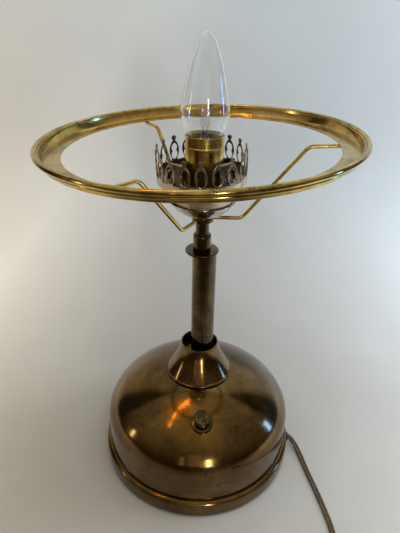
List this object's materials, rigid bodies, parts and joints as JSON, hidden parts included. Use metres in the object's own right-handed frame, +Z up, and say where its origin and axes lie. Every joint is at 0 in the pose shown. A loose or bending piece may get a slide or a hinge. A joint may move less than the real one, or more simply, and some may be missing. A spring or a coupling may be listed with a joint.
{
  "type": "table lamp",
  "caption": "Brass table lamp on a round domed base: column, chimney gallery with looped fingers, ring for a glass shade, screw-in candle bulb, push button and twin cord.",
  "frame": {"origin": "centre of the foot's underside, on the table", "axes": "+Z up the column, -Y to the front (the push button), +X to the right (the cord)"},
  "size_m": [0.2784, 0.3462, 0.4232],
  "materials": {
    "felt": "wool felt",
    "aged_brass": "aged, satin, mottled patina",
    "ring_brass": "aged, streaky, half polished",
    "dark_bronze": "dark bronze, satin",
    "bright_brass": "bright, lacquered",
    "contact_brass": "bare",
    "nickel": "polished nickel",
    "tarnished_nickel": "tarnished nickel",
    "zinc_steel": "zinc plated",
    "plate_paint": "dark paint",
    "bakelite": "moulded, dull",
    "liner_board": "pressed board",
    "bulb_glass": "clear",
    "stem_glass": "clear",
    "black_glass": "black glass insulator",
    "bulb_cap_metal": "plain",
    "solder": "solder",
    "filament_wire": "bare wire",
    "spring_steel": "bare",
    "bush_rubber": "dull",
    "cord_brown": "brown, slightly see-through PVC",
    "plug_brown": "dark brown",
    "live_black": "PVC",
    "neutral_white": "PVC",
    "switch_red": "PVC"
  },
  "bodies": {
    "lamp": {"foot_felt": "felt", "foot_ring": "aged_brass", "bottom_plate": "plate_paint", "clamp_washer": "zinc_steel", "lock_washer": "zinc_steel", "bottom_nut": "contact_brass", "base_dome": "aged_brass", "bell_collar": "aged_brass", "column_seat": "dark_bronze", "column_tube": "dark_bronze", "column_washer": "aged_brass", "column_disc": "dark_bronze", "neck_sleeve": "dark_bronze", "upper_coupling": "dark_bronze", "lamp_pipe": "contact_brass", "spider_hub": "dark_bronze", "shade_arm_right": "ring_brass", "shade_arm_back_left": "ring_brass", "shade_arm_front_left": "ring_brass", "shade_ring": "ring_brass", "gallery_bowl": "nickel", "gallery_crown": "tarnished_nickel", "gallery_nut": "contact_brass", "chimney_seat": "tarnished_nickel", "gallery_clips": "tarnished_nickel", "socket_cap": "bright_brass", "socket_base": "bakelite", "socket_contact": "contact_brass", "screw_shell": "contact_brass", "terminal_screws": "contact_brass", "socket_liner": "liner_board", "socket_shell": "bright_brass", "switch_boss": "aged_brass", "switch_bushing": "contact_brass", "switch_lock_nut": "zinc_steel", "switch_body": "bakelite", "switch_terminals": "contact_brass", "switch_spring": "spring_steel", "cord_bush": "bush_rubber", "cord": "cord_brown", "plug_body": "plug_brown", "plug_blades": "contact_brass", "live_wire": "live_black", "neutral_wire": "neutral_white", "switch_wire": "switch_red"},
    "button": {"switch_button": "aged_brass"},
    "bulb_tip": {"bulb_contact": "solder"},
    "bulb": {"bulb_insulator": "black_glass", "bulb_cap": "bulb_cap_metal", "bulb_stem": "stem_glass", "bulb_filament": "filament_wire", "bulb_glass": "bulb_glass"}
  },
  "joints": [
    {"name": "switch_press", "type": "slide", "parent": "lamp", "child": "button", "axis": [-0.0215, 0.3413, -0.9397], "range_m": [0, 0.0025], "stiffness_N_per_m": 900, "springref_m": -0.003, "deforming": ["switch_spring"]},
    {"name": "bulb_lift", "type": "slide", "parent": "lamp", "child": "bulb_tip", "axis": [0, 0, 1], "range_m": [0, 0.0145]},
    {"name": "bulb_turn", "type": "hinge", "parent": "bulb_tip", "child": "bulb", "pos_m": [0, 0, 0.33], "axis": [0, 0, 1], "range_deg": [0, 1440]}
  ],
  "couplings": [
    {"joint": "bulb_turn", "follows": "bulb_lift", "rad_per_m": 1731.4}
  ]
}
